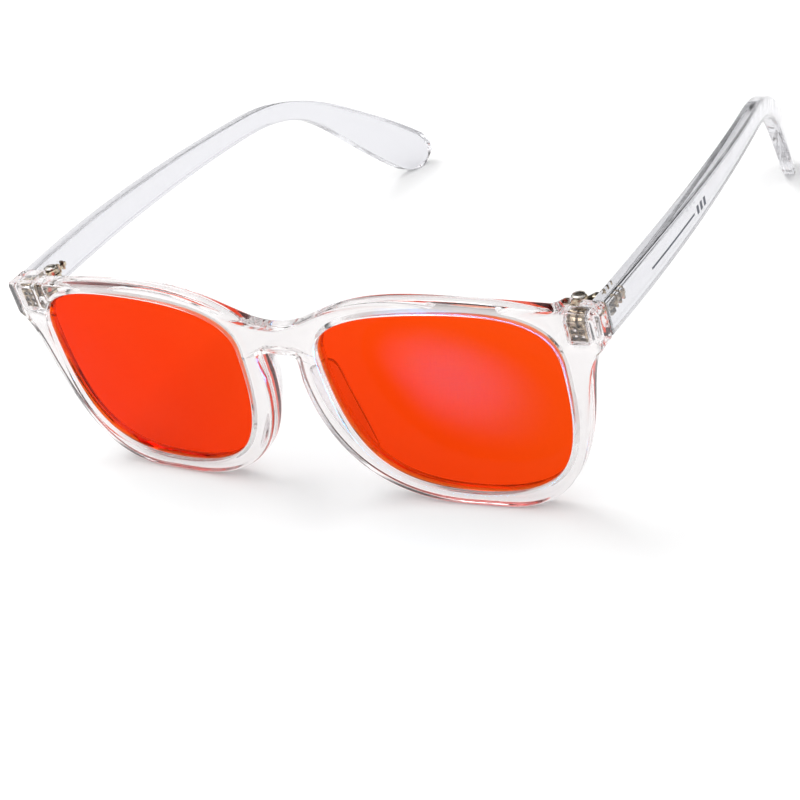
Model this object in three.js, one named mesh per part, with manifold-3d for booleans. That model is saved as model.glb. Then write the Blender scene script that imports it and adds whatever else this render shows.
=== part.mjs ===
// Clear-framed glasses with orange blue-light lenses, as separate solids in millimetres.
// +X is the wearer's left, +Y runs back along the open temples and +Z is up. The glasses stand on
// the bottoms of their two rims and on the tips of their two temples, at z = 0. The front is built
// with its face at y = 0, and the whole assembly is moved at the end so that the origin is centred.
import * as THREE from 'three';
import { mergeVertices } from 'three/addons/utils/BufferGeometryUtils.js';
import Module from 'manifold-3d';

// Driving dimensions, in millimetres and degrees.
const LENS_X = 35.25;            // lens centre from the middle of the bridge
const LENS_Z = 23.5;             // lens centre above the ground
const LENS_THICKNESS = 1.8;
const LENS_V = 0.7;              // depth of each slope of the V edge, through the thickness
const LENS_REACH = 0.6;          // how far the V edge stands out past the opening
const RIM_DEPTH = 4;             // rims and bridge, front to back
const RIM_ROUND = 0.6;           // rounding of the moulded edges
const GROOVE_REACH = 1;          // depth of the lens groove past the opening
const FACE_BOW = 0.0008;         // the front bows back by FACE_BOW times x squared
const BRIDGE_TOP = 38.9;
const BRIDGE_BOTTOM = 32.8;
const RIM_TOP = 46.2;
const NOSE_HALF_GAP = 4.3;       // half the narrowest gap between the nasal rims
const END_X = 69.6;              // outer side of the end pieces and the temple roots
const END_BOTTOM = 36;
const END_TOP = 43.6;
const JOINT_Y = 9.1;             // rear face of the end piece, where the temple butts
const END_BLOCK = { inner: 61.6, front: 5, inset: 0.1, shy: 0.15, round: 0.5, corner: 1.4 };
const GAP = 0.3;                 // between pieces that touch
const TEMPLE_LENGTH = 140;
const TEMPLE_THICKNESS = 3.4;
const TEMPLE_ROUND = 0.9;
const TEMPLE_ROOT_Z = 39.6;      // middle of the temple at the hinge
const DROOP = 8.5;               // steady downward turn of the temple over its length
const BEND = 38.95;              // further turn behind the ear
const BEND_START = 75;
const BEND_LENGTH = 37;
const TIP_LENGTH = 7;            // elliptical end of the paddle
const SPLAY = 0.06;              // outward lean of the temple at the hinge
const HEAD_CURVE = 0.0013;       // inward curve, times the square of the run back from the joint
const EAR_CURVE = 0.0016;        // further inward curve, times the square of the run past BEND_START
const HINGE_X = 63.2;            // hinge axis, vertical
const HINGE_Y = 11.3;
const KNUCKLE_RADIUS = 1.6;
const KNUCKLE_HEIGHT = 1.1;
const KNUCKLE_GAP = 0.2;
const KNUCKLES = 5;
const LEAF_HALF_HEIGHT = 2.6;
const WEB_HALF = 0.8;            // half the thickness of the front leaf's neck
const WINDOW = { side: 0.9, stepX: 1.2, stepZ: 1.3, fromSide: 0.4, fromBottom: 0.6 };
const ANCHOR_TEETH = 5;
const TOOTH_BITE = 0.5;
const BORE_RADIUS = 0.8;
const SCREW_RADIUS = 0.6;
const SCREW_HEAD = { radius: 1.3, height: 0.7, chamfer: 0.3, slotHalf: 0.2, slotDepth: 0.35 };
const PAD_THICKNESS = 1.6;
const PAD = { low: 7, high: 29, reach: 4.2, round: 0.5, openOut: 0.48 };
const OVERLAP = 0.2;             // how far parts of one piece run into each other before joining

const CURVE_STEPS = 10;          // straight pieces in each curve of an outline
const TEMPLE_STEPS = 40;         // stations along a temple
const WELD = 1e-4;               // points closer than this are one point

// Turns a shape drawn in x and y, and extruded along z, to stand in y and z, extruded along x.
const SIDE_ON = new THREE.Matrix4().makeBasis(
  new THREE.Vector3(0, 1, 0),
  new THREE.Vector3(0, 0, 1),
  new THREE.Vector3(1, 0, 0),
);

const wasm = await Module();
wasm.setup();

// A closed geometry as a solid that can be joined and cut.
function solid(geometry) {
  const shell = geometry.clone();
  shell.deleteAttribute('normal');
  shell.deleteAttribute('uv');
  const merged = mergeVertices(shell, WELD);
  return new wasm.Manifold(new wasm.Mesh({
    numProp: 3,
    vertProperties: new Float32Array(merged.attributes.position.array),
    triVerts: new Uint32Array(merged.index.array),
  }));
}

// The geometry of a joined or cut solid.
function geometryOf(body) {
  const mesh = body.getMesh();
  const geometry = new THREE.BufferGeometry();
  geometry.setAttribute('position', new THREE.BufferAttribute(new Float32Array(mesh.vertProperties), 3));
  geometry.setIndex(new THREE.BufferAttribute(new Uint32Array(mesh.triVerts), 1));
  geometry.computeVertexNormals();
  return geometry;
}

// The same piece for the wearer's right side, with its faces still pointing out.
function mirrored(geometry) {
  const copy = geometry.clone().scale(-1, 1, 1);
  const index = copy.index.array;
  for (let i = 0; i < index.length; i += 3) {
    [index[i], index[i + 1]] = [index[i + 1], index[i]];
  }
  copy.computeVertexNormals();
  return copy;
}

// A block between two corners.
function block(low, high) {
  const geometry = new THREE.BoxGeometry(high[0] - low[0], high[1] - low[1], high[2] - low[2]);
  geometry.translate((low[0] + high[0]) / 2, (low[1] + high[1]) / 2, (low[2] + high[2]) / 2);
  return solid(geometry);
}

// An upright cylinder on the hinge axis.
function upright(radius, low, high, sides) {
  const geometry = new THREE.CylinderGeometry(radius, radius, high - low, sides);
  geometry.rotateX(Math.PI / 2);
  geometry.translate(HINGE_X, HINGE_Y, (low + high) / 2);
  return solid(geometry);
}

// An outline in x and z made a plate from y = 0 to y = thickness. Its edges are cut back by round,
// in so many steps, and reach out past the outline by reach halfway through the thickness.
function plate(outline, thickness, round, steps, cutBack = round, reach = 0) {
  const geometry = new THREE.ExtrudeGeometry(outline, {
    depth: thickness - 2 * round,
    bevelThickness: round,
    bevelSize: cutBack + reach,
    bevelOffset: -cutBack,
    bevelSegments: steps,
    curveSegments: CURVE_STEPS,
  });
  geometry.translate(0, 0, round - thickness);
  geometry.rotateX(Math.PI / 2);
  return geometry;
}

// The bow of the front: every point moves back with the square of its distance from the bridge.
function bowed(geometry) {
  const position = geometry.attributes.position;
  for (let i = 0; i < position.count; i += 1) {
    position.setY(i, position.getY(i) + FACE_BOW * position.getX(i) ** 2);
  }
  return geometry;
}

// ---------------------------------------------------------------- front frame and lenses

// Opening on the wearer's left: four curves between the outermost, top, innermost and bottom points,
// each leaving its point level or upright.
function aperture() {
  const shape = new THREE.Shape();
  const at = (x, z) => [LENS_X + x, LENS_Z + z];
  shape.moveTo(...at(26, 8.5));
  shape.bezierCurveTo(...at(26, 15.5), ...at(21.5, 20), ...at(5, 20));
  shape.bezierCurveTo(...at(-17, 20), ...at(-25.5, 16), ...at(-25.5, 9));
  shape.bezierCurveTo(...at(-25.5, -15), ...at(-16, -20.5), ...at(1.5, -20.5));
  shape.bezierCurveTo(...at(21.5, -20.5), ...at(26, -11.5), ...at(26, 8.5));
  return shape;
}

// Outer edge of the front, drawn for the wearer's left from the bridge's top round the rim to
// the bridge's underside, and mirrored. A short level land under each rim rests on the ground.
function frontOutline() {
  const half = new THREE.Path();
  half.moveTo(0, BRIDGE_TOP);
  half.bezierCurveTo(10, BRIDGE_TOP, 13, RIM_TOP, 33, RIM_TOP);
  half.bezierCurveTo(45, RIM_TOP, 56.8, 44.6, END_X - END_BLOCK.corner, END_TOP + 0.1);
  half.quadraticCurveTo(END_X, END_TOP, END_X, END_TOP - END_BLOCK.corner);
  half.lineTo(END_X, END_BOTTOM + 1);
  half.quadraticCurveTo(END_X, END_BOTTOM - 0.1, END_X - 0.9, END_BOTTOM - 0.7);
  half.bezierCurveTo(67, 34, 66.2, 31, 65.3, 27);
  half.bezierCurveTo(62.3, 12, 57.6, 0, 42, 0);
  half.lineTo(34, 0);
  half.bezierCurveTo(16, 0, 5.1, 10, NOSE_HALF_GAP, 27);
  half.lineTo(NOSE_HALF_GAP + 0.3, 31.2);
  half.quadraticCurveTo(NOSE_HALF_GAP + 0.4, BRIDGE_BOTTOM, NOSE_HALF_GAP - 1.2, BRIDGE_BOTTOM);
  half.lineTo(0, BRIDGE_BOTTOM);
  const left = half.getPoints(CURVE_STEPS);
  const right = left.slice(1, -1).reverse().map((point) => new THREE.Vector2(-point.x, point.y));
  return new THREE.Shape([...left, ...right]);
}

// Rear block of the end piece, which gives the hinge and the temple their full depth. Its inner rear
// corner is rounded, and it stops a little shy of the front's own edges.
function endBlock() {
  const { inner, front, inset, shy, round, corner } = END_BLOCK;
  const plan = new THREE.Shape();
  plan.moveTo(inner, front);
  plan.lineTo(END_X - inset, front);
  plan.lineTo(END_X - inset, JOINT_Y);
  plan.lineTo(inner + corner, JOINT_Y);
  plan.quadraticCurveTo(inner + 0.3, JOINT_Y, inner, front + 2);
  const geometry = new THREE.ExtrudeGeometry(plan, {
    depth: END_TOP - END_BOTTOM - 2 * shy - 2 * round,
    bevelThickness: round,
    bevelSize: round,
    bevelOffset: -round,
    bevelSegments: 2,
    curveSegments: 4,
  });
  geometry.translate(0, 0, END_BOTTOM + shy + round);
  return geometry;
}

const LENS_FRONT = (RIM_DEPTH - LENS_THICKNESS) / 2;

// Lens: a plate whose edge comes to a blunt V that sits in the groove of the rim.
function lens() {
  const geometry = plate(aperture(), LENS_THICKNESS, LENS_V, 1, GAP, LENS_REACH);
  geometry.translate(0, LENS_FRONT, 0);
  return mergedShell(bowed(geometry));
}

// The groove that the lens's edge sits in, wider than the lens by the gap on every side.
function lensGroove() {
  const width = LENS_THICKNESS + 2 * GAP;
  const geometry = plate(aperture(), width, LENS_V + GAP, 1, OVERLAP, GROOVE_REACH);
  geometry.translate(0, LENS_FRONT - GAP, 0);
  return mergedShell(bowed(geometry));
}

// A geometry with only its places left and equal points joined.
function mergedShell(geometry) {
  return geometryOf(solid(geometry));
}

// ---------------------------------------------------------------- hinges

const STACK = KNUCKLES * KNUCKLE_HEIGHT + (KNUCKLES - 1) * KNUCKLE_GAP;
const STACK_BOTTOM = TEMPLE_ROOT_Z - STACK / 2;
const STACK_TOP = STACK_BOTTOM + STACK;
const BORE_LOW = STACK_BOTTOM - 1;
const BORE_HIGH = STACK_TOP + 1;
const LEAF_BOTTOM = TEMPLE_ROOT_Z - LEAF_HALF_HEIGHT;
const LEAF_TOP = TEMPLE_ROOT_Z + LEAF_HALF_HEIGHT;
const FRONT_PLATE = { x0: HINGE_X - WEB_HALF, x1: 66.6, y0: 5.9, y1: 7.4 };
const TEMPLE_PLATE = { x0: 64.5, x1: 65.9, y0: 13.3, y1: 15.6 };
const ANCHOR = { x1: 67.7, y0: 13.8, y1: 20, z0: LEAF_BOTTOM + 0.7, z1: LEAF_TOP - 0.7 };

// Lowest and highest level of one knuckle, counted from below.
function knuckleSpan(index) {
  const low = STACK_BOTTOM + index * (KNUCKLE_HEIGHT + KNUCKLE_GAP);
  return [low, low + KNUCKLE_HEIGHT];
}

// Front leaf: three knuckles on a neck, and a windowed plate inside the end piece.
function frontLeaf() {
  const { x0, x1, y0, y1 } = FRONT_PLATE;
  const clearY = HINGE_Y - KNUCKLE_RADIUS - KNUCKLE_GAP;
  let leaf = block([x0, y0, LEAF_BOTTOM], [x1, y1, LEAF_TOP]);
  leaf = leaf.add(block([x0, y1 - OVERLAP, LEAF_BOTTOM], [x0 + 2 * WEB_HALF, clearY, LEAF_TOP]));
  for (let index = 0; index < KNUCKLES; index += 2) {
    const [low, high] = knuckleSpan(index);
    leaf = leaf.add(block([x0, clearY - OVERLAP, low], [x0 + 2 * WEB_HALF, HINGE_Y, high]));
    leaf = leaf.add(upright(KNUCKLE_RADIUS, low, high, 20));
  }
  leaf = leaf.subtract(upright(BORE_RADIUS, BORE_LOW, BORE_HIGH, 16));
  for (const column of [0, 1]) {
    for (const row of [0, 1]) {
      const x = x1 - WINDOW.fromSide - WINDOW.side - column * WINDOW.stepX;
      const z = LEAF_BOTTOM + WINDOW.fromBottom + row * WINDOW.stepZ;
      const opening = block([x, y0 - 1, z], [x + WINDOW.side, y1 + 1, z + WINDOW.side]);
      leaf = leaf.subtract(opening);
    }
  }
  return geometryOf(leaf);
}

// Temple leaf: two knuckles, a short plate on the temple's inner face and a toothed anchor inside it.
function templeLeaf() {
  const { x0, x1, y0, y1 } = TEMPLE_PLATE;
  const armReach = KNUCKLE_RADIUS - 2 * OVERLAP;
  const armWidth = 2 * WEB_HALF;
  let leaf = block([x0, y0, LEAF_BOTTOM], [x1, y1, LEAF_TOP]);
  for (let index = 1; index < KNUCKLES; index += 2) {
    const [low, high] = knuckleSpan(index);
    const web = new THREE.Shape();
    web.moveTo(HINGE_X, HINGE_Y - armReach);
    web.lineTo(x1, y0);
    web.lineTo(x1, y0 + armWidth);
    web.lineTo(x0, y0 + armWidth);
    web.lineTo(HINGE_X - armReach, HINGE_Y);
    const arm = new THREE.ExtrudeGeometry(web, { depth: high - low, bevelEnabled: false });
    arm.translate(0, 0, low);
    leaf = leaf.add(solid(arm));
    leaf = leaf.add(upright(KNUCKLE_RADIUS, low, high, 20));
  }
  leaf = leaf.subtract(upright(BORE_RADIUS, BORE_LOW, BORE_HIGH, 16));
  const anchor = block([x1 - OVERLAP, ANCHOR.y0, ANCHOR.z0], [ANCHOR.x1, ANCHOR.y1, ANCHOR.z1]);
  leaf = leaf.add(anchor);
  const pitch = (ANCHOR.y1 - ANCHOR.y0) / ANCHOR_TEETH;
  for (let tooth = 0; tooth < ANCHOR_TEETH; tooth += 1) {
    const y = ANCHOR.y0 + (tooth + 0.5) * pitch;
    for (const z of [ANCHOR.z0, ANCHOR.z1]) {
      const low = [x1 + OVERLAP, y, z - TOOTH_BITE];
      const high = [ANCHOR.x1 + 1, y + pitch / 2, z + TOOTH_BITE];
      leaf = leaf.subtract(block(low, high));
    }
  }
  return geometryOf(leaf);
}

// Slotted hinge screw: a low head on the top knuckle and a plain shank down to the last one.
function hingeScrew() {
  const { radius, height, chamfer, slotHalf, slotDepth } = SCREW_HEAD;
  const tip = STACK_BOTTOM + KNUCKLE_GAP;
  const headBottom = STACK_TOP + KNUCKLE_GAP / 2;
  const headTop = headBottom + height;
  const profile = [
    [0, tip],
    [SCREW_RADIUS, tip],
    [SCREW_RADIUS, headBottom],
    [radius, headBottom],
    [radius, headTop - chamfer],
    [radius - chamfer, headTop],
    [0, headTop],
  ];
  const points = profile.map(([out, up]) => new THREE.Vector2(out, up));
  const geometry = new THREE.LatheGeometry(points, 16);
  geometry.rotateX(Math.PI / 2);
  geometry.translate(HINGE_X, HINGE_Y, 0);
  const slot = block(
    [HINGE_X - 2 * radius, HINGE_Y - slotHalf, headTop - slotDepth],
    [HINGE_X + 2 * radius, HINGE_Y + slotHalf, headTop + 1],
  );
  return geometryOf(solid(geometry).subtract(slot));
}

// Room for the front leaf inside the end piece, open at the rear where the neck comes out.
function endPocket() {
  const { x0, x1, y0, y1 } = FRONT_PLATE;
  const low = LEAF_BOTTOM - GAP;
  const high = LEAF_TOP + GAP;
  const room = block([x0 - GAP, y0 - GAP, low], [x1 + GAP, y1 + GAP, high]);
  return room.add(block([x0 - GAP, y0, low], [x0 + 2 * WEB_HALF + GAP, JOINT_Y + 1, high]));
}

// The front in one moulding: rims and bridge in one bowed plate with an end block on each side,
// less the lens grooves and the hinge pockets.
function frontFrame() {
  const outline = frontOutline();
  const opening = aperture().getPoints(CURVE_STEPS).slice(1);
  const twin = opening.map((point) => new THREE.Vector2(-point.x, point.y)).reverse();
  outline.holes = [new THREE.Path(opening), new THREE.Path(twin)];
  const end = mergedShell(endBlock());
  let frame = solid(bowed(plate(outline, RIM_DEPTH, RIM_ROUND, 2)));
  frame = frame.add(solid(end)).add(solid(mirrored(end)));
  for (const cut of [lensGroove(), geometryOf(endPocket())]) {
    frame = frame.subtract(solid(cut)).subtract(solid(mirrored(cut)));
  }
  return geometryOf(frame);
}

// ---------------------------------------------------------------- temples

// Half the height of the temple at a share of its length: it narrows towards the bend and widens
// into a paddle behind the ear.
function halfHeight(share) {
  const narrowing = 3.6 - 1.25 * THREE.MathUtils.smoothstep(share, 0.05, 0.7);
  return narrowing + 2.7 * THREE.MathUtils.smoothstep(share, 0.66, 0.94);
}

// Heading of the temple's centre line below the horizontal, in radians.
function heading(length) {
  const turn = BEND * THREE.MathUtils.smoothstep(length, BEND_START, BEND_START + BEND_LENGTH);
  return THREE.MathUtils.degToRad(DROOP * (length / TEMPLE_LENGTH) + turn);
}

// Side view of the temple in y and z: the two edges at half the height on each side of the centre
// line, closed by an elliptical end.
function templeOutline() {
  const upper = [];
  const lower = [];
  const step = (TEMPLE_LENGTH - TIP_LENGTH) / TEMPLE_STEPS;
  let y = JOINT_Y + GAP;
  let z = TEMPLE_ROOT_Z;
  for (let i = 0; i <= TEMPLE_STEPS; i += 1) {
    const length = i * step;
    const angle = heading(length);
    const half = halfHeight(length / TEMPLE_LENGTH);
    upper.push(new THREE.Vector2(y + half * Math.sin(angle), z + half * Math.cos(angle)));
    lower.push(new THREE.Vector2(y - half * Math.sin(angle), z - half * Math.cos(angle)));
    const middle = heading(length + step / 2);
    if (i < TEMPLE_STEPS) {
      y += step * Math.cos(middle);
      z -= step * Math.sin(middle);
    }
  }
  const angle = heading(TEMPLE_LENGTH - TIP_LENGTH);
  const half = halfHeight(1 - TIP_LENGTH / TEMPLE_LENGTH);
  const tip = [];
  const tipSteps = 12;
  for (let i = 1; i < tipSteps; i += 1) {
    const turn = Math.PI / 2 - (Math.PI * i) / tipSteps;
    const along = TIP_LENGTH * Math.cos(turn);
    const across = half * Math.sin(turn);
    tip.push(new THREE.Vector2(
      y + along * Math.cos(angle) + across * Math.sin(angle),
      z - along * Math.sin(angle) + across * Math.cos(angle),
    ));
  }
  return new THREE.Shape([...upper, ...tip, ...lower.reverse()]);
}

// Outer side of the temple: it splays a little, then curves in to follow the head.
function templeSide(y) {
  const run = Math.max(0, y - JOINT_Y);
  const late = Math.max(0, run - BEND_START);
  return END_X + SPLAY * run - HEAD_CURVE * run ** 2 - EAR_CURVE * late ** 2;
}

function temple() {
  const geometry = new THREE.ExtrudeGeometry(templeOutline(), {
    depth: TEMPLE_THICKNESS - 2 * TEMPLE_ROUND,
    bevelThickness: TEMPLE_ROUND,
    bevelSize: TEMPLE_ROUND,
    bevelOffset: -TEMPLE_ROUND,
    bevelSegments: 2,
  });
  geometry.translate(0, 0, TEMPLE_ROUND - TEMPLE_THICKNESS);
  geometry.applyMatrix4(SIDE_ON);
  const position = geometry.attributes.position;
  for (let i = 0; i < position.count; i += 1) {
    position.setX(i, position.getX(i) + templeSide(position.getY(i)));
  }
  const room = block(
    [TEMPLE_PLATE.x0, ANCHOR.y0 - GAP, ANCHOR.z0 - GAP],
    [ANCHOR.x1 + GAP, ANCHOR.y1 + GAP, ANCHOR.z1 + GAP],
  );
  return geometryOf(solid(geometry).subtract(room));
}

// ---------------------------------------------------------------- nose pads

// How far the nasal edge of the left rim lies from the middle at a height: it runs nearly upright
// at the top and leans out further and further below.
function nasalEdge(z) {
  const drop = Math.max(0, 27 - z);
  return NOSE_HALF_GAP + 0.2 + 0.021 * drop ** 2;
}

// A D-shaped wing: its straight side follows the back of the nasal rim and its round side stands
// back towards the face, opening out to the rear to lie along the nose.
function nosePad() {
  const { low, high, reach, round, openOut } = PAD;
  const middle = (low + high) / 2;
  const wing = new THREE.Shape();
  wing.moveTo(0, high);
  wing.bezierCurveTo(reach * 0.8, high - 0.5, reach, high - 6, reach, middle);
  wing.bezierCurveTo(reach, low + 5, reach * 0.6, low + 1.5, 0, low);
  const seatSteps = 10;
  for (let i = 1; i < seatSteps; i += 1) {
    wing.lineTo(0, low + ((high - low) * i) / seatSteps);
  }
  const geometry = new THREE.ExtrudeGeometry(wing, {
    depth: PAD_THICKNESS - 2 * round,
    bevelThickness: round,
    bevelSize: round,
    bevelOffset: -round,
    bevelSegments: 2,
    curveSegments: CURVE_STEPS,
  });
  geometry.translate(0, 0, round);
  geometry.applyMatrix4(SIDE_ON);
  const position = geometry.attributes.position;
  for (let i = 0; i < position.count; i += 1) {
    const back = position.getY(i);
    const edge = nasalEdge(position.getZ(i)) + 0.4 + openOut * back;
    position.setX(i, position.getX(i) + edge);
    position.setY(i, back + RIM_DEPTH + 2 * GAP);
  }
  return mergedShell(geometry);
}

// ---------------------------------------------------------------- materials and assembly

function finish(color, roughness, metalness) {
  return new THREE.MeshStandardMaterial({ color, roughness, metalness });
}

const clearPlastic = () => finish('#e9e6ea', 0.08, 0);
const orangeLens = () => finish('#f4440f', 0.05, 0);
const hingeMetal = () => finish('#8a8178', 0.35, 1);
const screwMetal = () => finish('#b9b4ad', 0.3, 1);

function named(name, geometry, material) {
  const mesh = new THREE.Mesh(geometry, material);
  mesh.name = name;
  return mesh;
}

const glasses = new THREE.Group();
glasses.add(named('front_frame', frontFrame(), clearPlastic()));
const sidePieces = [
  ['lens', lens(), orangeLens],
  ['nose_pad', nosePad(), clearPlastic],
  ['temple', temple(), clearPlastic],
  ['hinge_front', frontLeaf(), hingeMetal],
  ['hinge_temple', templeLeaf(), hingeMetal],
  ['hinge_screw', hingeScrew(), screwMetal],
];
for (const [name, geometry, material] of sidePieces) {
  glasses.add(named(`${name}_left`, geometry, material()));
  glasses.add(named(`${name}_right`, mirrored(geometry), material()));
}

const box = new THREE.Box3().setFromObject(glasses);
glasses.position.y = -(box.min.y + box.max.y) / 2;

export default glasses;
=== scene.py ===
"""Looks of a pair of clear-framed glasses with orange blue-light lenses.

Lengths are in millimetres from the face of the bridge, with +X to the wearer's left, +Y back along
the temples and +Z up, and become metres in the row frame as each mesh is made. The studio at the
end is in metres.
"""

import math

import bpy
import numpy as np
from mathutils import Matrix, Vector


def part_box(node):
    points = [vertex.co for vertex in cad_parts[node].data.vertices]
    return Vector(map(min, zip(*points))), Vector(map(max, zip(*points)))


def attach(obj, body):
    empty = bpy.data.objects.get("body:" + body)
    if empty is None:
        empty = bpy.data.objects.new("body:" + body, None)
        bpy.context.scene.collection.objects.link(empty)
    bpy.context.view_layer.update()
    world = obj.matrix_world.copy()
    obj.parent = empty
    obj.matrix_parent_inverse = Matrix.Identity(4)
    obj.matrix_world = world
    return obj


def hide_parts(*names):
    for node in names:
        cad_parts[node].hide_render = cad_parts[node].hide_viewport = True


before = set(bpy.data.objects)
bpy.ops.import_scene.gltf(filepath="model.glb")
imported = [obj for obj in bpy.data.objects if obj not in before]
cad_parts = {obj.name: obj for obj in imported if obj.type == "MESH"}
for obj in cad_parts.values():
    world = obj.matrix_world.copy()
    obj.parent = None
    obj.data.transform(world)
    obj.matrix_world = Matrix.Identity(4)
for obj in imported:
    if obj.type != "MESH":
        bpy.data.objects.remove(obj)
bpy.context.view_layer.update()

# ---------------------------------------------------------------- front frame
# The front is one injection moulding in clear nylon: two rims, a saddle bridge and a deeper end
# piece on each side. It is tumbled and dipped to a wet gloss, bows back towards the temples, and
# has a V groove round each opening for the lens and a pocket in each end piece for the hinge plate.

LENS_CENTRE = np.array([35.25, 23.5])
BRIDGE_TOP = 38.9
BRIDGE_BOTTOM = 32.8
RIM_DEPTH = 4.0
FACE_BOW = 0.0008
EDGE_ROUND = 0.9
END_EDGE_SHARPER = 0.5
OPENING_ROUND = 0.5
GROOVE_DEPTH = 0.95
GROOVE_MOUTH = 0.1
GROOVE_FRONT, GROOVE_MIDDLE, GROOVE_BACK = 1.05, 2.0, 2.95
END_STARTS_X = (60.4, 62.6)
END_STARTS_Z = (34.6, 36.6)
JOINT_Y = 9.1
POCKET_MIDDLE = (65.1, 0, 39.6)
POCKET_HALF_WIDTH, POCKET_HALF_HEIGHT = 2.4, 2.8
POCKET_FRONT, POCKET_BACK = 5.5, 7.7
POCKET_CORNER, POCKET_ROUND = 1.0, 0.4
PLASTIC_PINK_WHITE = "#EEEBEB"
NYLON_IOR = 1.51
METRES = 0.001


def bezier(points, count):
    """Points along a Bezier curve, without its last one: each control point times its Bernstein
    weight."""
    points = np.array(points, float)
    t = np.arange(count)[:, None] / count
    order = len(points) - 1
    weights = [math.comb(order, k) * t**k * (1 - t) ** (order - k) for k in range(order + 1)]
    return sum(w * p for w, p in zip(weights, points))


def smooth_step(value, start, end):
    """0 before start, 1 after end, and 3t squared less 2t cubed in between."""
    t = np.clip((value - start) / (end - start), 0, 1)
    return t * t * (3 - 2 * t)


def opening(count):
    """Closed outline of the lens opening, clockwise from its top: four cubic curves between its
    four extremes."""
    top, outer, bottom, inner = (5, 20), (26, 8.5), (1.5, -20.5), (-25.5, 9)
    curves = [
        [top, (21.5, 20), (26, 15.5), outer],
        [outer, (26, -11.5), (21.5, -20.5), bottom],
        [bottom, (-16, -20.5), (-25.5, -15), inner],
        [inner, (-25.5, 16), (-17, 20), top],
    ]
    return LENS_CENTRE + np.vstack([bezier(c, count) for c in curves])


def side_normals(loop):
    """Unit vectors to the right of the direction of travel at each point of a closed outline."""
    along = np.roll(loop, -1, 0) - np.roll(loop, 1, 0)
    along /= np.linalg.norm(along, axis=1)[:, None]
    return np.stack([along[:, 1], -along[:, 0]], 1)


def front_outline():
    """Half outline of the front from the bridge's top, round the rim and back under the bridge,
    then up the middle plane. Gives its points, its unit vectors into the plastic and which points
    lie on the middle plane, where the two halves meet and there is no edge."""
    curves = [
        ([(0, BRIDGE_TOP), (10, BRIDGE_TOP), (13, 46.2), (33, 46.2)], 48),
        ([(33, 46.2), (45, 46.2), (56.8, 44.6), (68.2, 43.7)], 40),
        ([(68.2, 43.7), (69.6, 43.6), (69.6, 42.2)], 8),
        ([(69.6, 42.2), (69.6, 37)], 10),
        ([(69.6, 37), (69.6, 35.9), (68.7, 35.3)], 6),
        ([(68.7, 35.3), (67, 34), (66.2, 31), (65.3, 27)], 14),
        ([(65.3, 27), (62.3, 12), (57.6, 0), (42, 0)], 48),
        ([(42, 0), (34, 0)], 6),
        ([(34, 0), (16, 0), (5.1, 10), (4.3, 27)], 48),
        ([(4.3, 27), (4.6, 31.2)], 5),
        ([(4.6, 31.2), (4.7, BRIDGE_BOTTOM), (3.1, BRIDGE_BOTTOM)], 8),
        ([(3.1, BRIDGE_BOTTOM), (0, BRIDGE_BOTTOM)], 5),
    ]
    edge = np.vstack([bezier(c, n) for c, n in curves] + [[(0, BRIDGE_BOTTOM)]])
    inward = side_normals(edge)
    inward[0], inward[-1] = (0, -1), (0, 1)
    count = 8
    up_middle = np.linspace(BRIDGE_BOTTOM + EDGE_ROUND, BRIDGE_TOP - EDGE_ROUND, count)
    middle = np.stack([np.zeros(count), up_middle], 1)
    points = np.vstack([edge, middle])
    inward = np.vstack([inward, np.zeros((count, 2))])
    return points, inward, np.arange(len(points)) >= len(edge)


def matching_opening(outer):
    """For each outline point, the point of the lens opening at the same bearing from the lens
    centre, with its unit vector into the rim. Bearings that would turn back are held, then
    averaged with five neighbours on each side."""
    near = 5
    bearing = np.unwrap(np.arctan2(*(outer - LENS_CENTRE).T[::-1]))
    bearing = np.minimum.accumulate(bearing)
    ring = np.concatenate([bearing[-near:] + 2 * np.pi, bearing, bearing[:near] - 2 * np.pi])
    bearing = np.convolve(ring, np.ones(2 * near + 1) / (2 * near + 1), "valid")
    dense = opening(500)
    away = -side_normals(dense)
    angle = np.arctan2(*(dense - LENS_CENTRE).T[::-1])
    reach = np.linalg.norm(dense - LENS_CENTRE, axis=1)
    order = np.argsort(angle)
    radius, nx, nz = [np.interp(bearing, angle[order], v[order], period=2 * np.pi)
                      for v in (reach, away[:, 0], away[:, 1])]
    points = LENS_CENTRE + radius[:, None] * np.stack([np.cos(bearing), np.sin(bearing)], 1)
    normal = np.stack([nx, nz], 1)
    return points, normal / np.linalg.norm(normal, axis=1)[:, None]


def front_y(x):
    """Face of the front: it goes back with the square of the distance from the bridge."""
    return FACE_BOW * x**2


def end_share(x, z):
    """1 over the end piece and 0 over the rim, with a soft step between them."""
    return smooth_step(x, *END_STARTS_X) * smooth_step(z, *END_STARTS_Z)


def back_y(x, z):
    """Back of the front: one rim's depth behind the face, rising to the flat joint face at the
    end."""
    share = end_share(x, z)
    return (front_y(x) + RIM_DEPTH) * (1 - share) + JOINT_Y * share


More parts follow.
